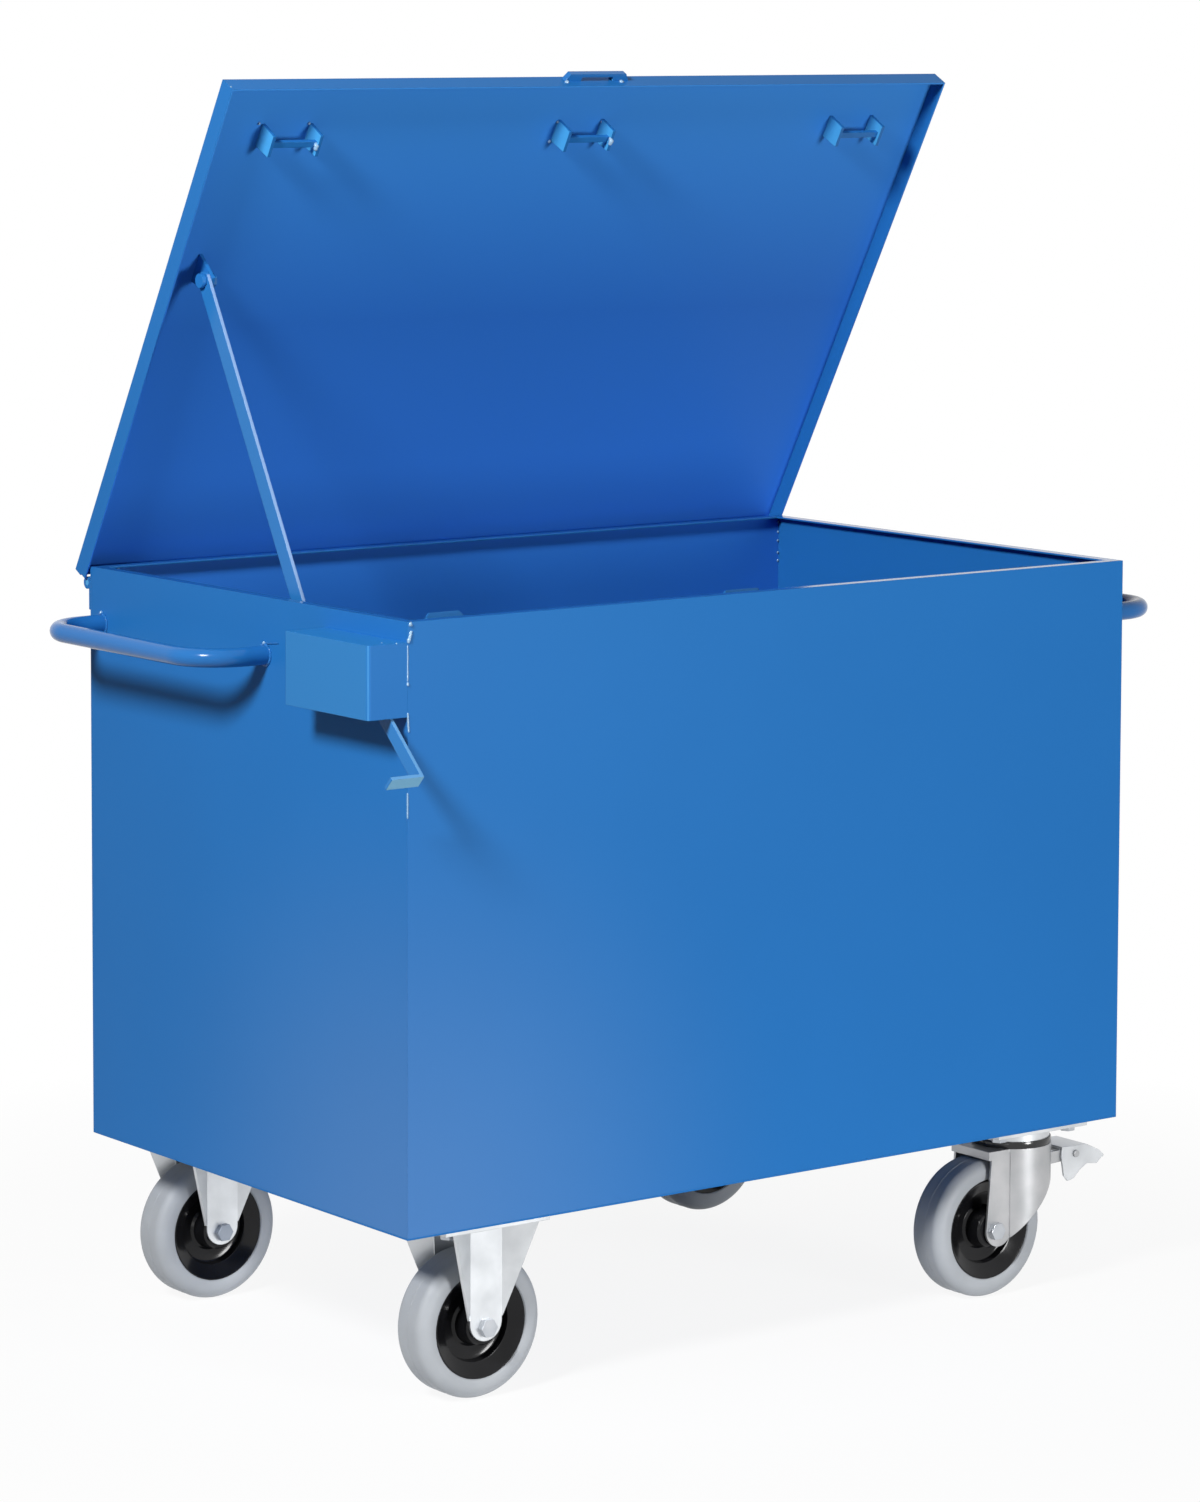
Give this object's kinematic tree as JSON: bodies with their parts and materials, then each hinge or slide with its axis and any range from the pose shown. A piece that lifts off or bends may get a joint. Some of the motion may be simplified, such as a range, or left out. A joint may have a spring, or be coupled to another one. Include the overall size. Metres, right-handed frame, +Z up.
{
  "type": "mobile tool box",
  "caption": "Sheet-steel site tool chest on fixed and swivel casters, with push handles at both ends and a hinged lid held open by a slotted stay; a shrouded lever turns hooks that lock the lid",
  "frame": {"origin": "centre of the bounding box at floor level, where the wheels stand", "axes": "+X along the front to the right, towards the swivel casters; +Y from the front to the hinged back; +Z up"},
  "size_m": [1.181, 0.7086, 1.4049],
  "materials": {
    "blue_paint": "smooth semi-gloss blue powder coat on welded steel",
    "zinc_plate": "bright zinc-plated pressed steel",
    "rim_plastic": "smooth black moulded plastic",
    "tyre_rubber": "matt grey solid rubber"
  },
  "bodies": {
    "box": {"front_panel": "blue_paint", "back_panel": "blue_paint", "left_panel": "blue_paint", "right_panel": "blue_paint", "floor_panel": "blue_paint", "rim_lip": "rim_plastic", "hinge_leaf_left": "blue_paint", "hinge_leaf_centre": "blue_paint", "hinge_leaf_right": "blue_paint", "hinge_pin_left": "zinc_plate", "hinge_pin_centre": "zinc_plate", "hinge_pin_right": "zinc_plate", "stay_guide": "blue_paint", "shaft_bearing_left": "blue_paint", "shaft_bearing_centre": "blue_paint", "shaft_bearing_right": "blue_paint", "padlock_shroud": "blue_paint", "padlock_staple": "blue_paint", "handle_left": "blue_paint", "handle_right": "blue_paint", "fixed_caster_bolts": "zinc_plate", "swivel_caster_bolts": "zinc_plate", "fork_front_left": "zinc_plate", "axle_front_left": "zinc_plate", "fork_back_left": "zinc_plate", "axle_back_left": "zinc_plate", "plate_front_right": "zinc_plate", "plate_back_right": "zinc_plate"},
    "lid": {"lid_pan": "blue_paint", "lid_pull": "blue_paint", "keeper_left": "blue_paint", "keeper_centre": "blue_paint", "keeper_right": "blue_paint", "lid_leaf_left": "blue_paint", "lid_leaf_centre": "blue_paint", "lid_leaf_right": "blue_paint", "stay_bracket": "blue_paint", "stay_bolt": "zinc_plate"},
    "stay": {"stay_bar": "blue_paint", "stay_pin": "zinc_plate"},
    "lock": {"lock_shaft": "blue_paint", "hook_left": "blue_paint", "hook_centre": "blue_paint", "hook_right": "blue_paint", "lock_lever": "blue_paint"},
    "wheel_front_left": {"rim_front_left": "rim_plastic", "tyre_front_left": "tyre_rubber"},
    "wheel_back_left": {"rim_back_left": "rim_plastic", "tyre_back_left": "tyre_rubber"},
    "swivel_front": {"fork_front_right": "zinc_plate", "axle_front_right": "zinc_plate"},
    "swivel_back": {"fork_back_right": "zinc_plate", "axle_back_right": "zinc_plate"},
    "wheel_front_right": {"rim_front_right": "rim_plastic", "tyre_front_right": "tyre_rubber"},
    "wheel_back_right": {"rim_back_right": "rim_plastic", "tyre_back_right": "tyre_rubber"},
    "pedal_front": {"pedal_front_right": "zinc_plate"},
    "pedal_back": {"pedal_back_right": "zinc_plate"}
  },
  "joints": [
    {"name": "lid_hinge", "type": "hinge", "parent": "box", "child": "lid", "pos_m": [0, 0.33583, 0.826], "axis": [1, 0, 0], "range_deg": [0, 60.8]},
    {"name": "stay_pivot", "type": "hinge", "parent": "lid", "child": "stay", "pos_m": [-0.48, 0.13286, 1.17687], "axis": [1, 0, 0], "range_deg": [-60.8, 0]},
    {"name": "lock_turn", "type": "hinge", "parent": "box", "child": "lock", "pos_m": [-0.5, -0.23947, 0.789], "axis": [1, 0, 0], "range_deg": [0, 22]},
    {"name": "wheel_front_left_spin", "type": "hinge", "parent": "box", "child": "wheel_front_left", "pos_m": [-0.383, -0.24547, 0.08], "axis": [0, 1, 0], "continuous": true},
    {"name": "wheel_back_left_spin", "type": "hinge", "parent": "box", "child": "wheel_back_left", "pos_m": [-0.383, 0.27253, 0.08], "axis": [0, 1, 0], "continuous": true},
    {"name": "swivel_front_turn", "type": "hinge", "parent": "box", "child": "swivel_front", "pos_m": [0.388, -0.24547, 0.195], "axis": [0, 0, 1], "continuous": true},
    {"name": "swivel_back_turn", "type": "hinge", "parent": "box", "child": "swivel_back", "pos_m": [0.388, 0.27253, 0.195], "axis": [0, 0, 1], "continuous": true},
    {"name": "wheel_front_right_spin", "type": "hinge", "parent": "swivel_front", "child": "wheel_front_right", "pos_m": [0.335, -0.24547, 0.08], "axis": [0, 1, 0], "continuous": true},
    {"name": "wheel_back_right_spin", "type": "hinge", "parent": "swivel_back", "child": "wheel_back_right", "pos_m": [0.335, 0.27253, 0.08], "axis": [0, 1, 0], "continuous": true},
    {"name": "pedal_front_press", "type": "hinge", "parent": "swivel_front", "child": "pedal_front", "pos_m": [0.465, -0.24547, 0.151], "axis": [0, 1, 0], "range_deg": [0, 15]},
    {"name": "pedal_back_press", "type": "hinge", "parent": "swivel_back", "child": "pedal_back", "pos_m": [0.465, 0.27253, 0.151], "axis": [0, 1, 0], "range_deg": [0, 15]}
  ],
  "couplings": [
    {"joint": "stay_pivot", "follows": "lid_hinge", "ratio": -1}
  ]
}
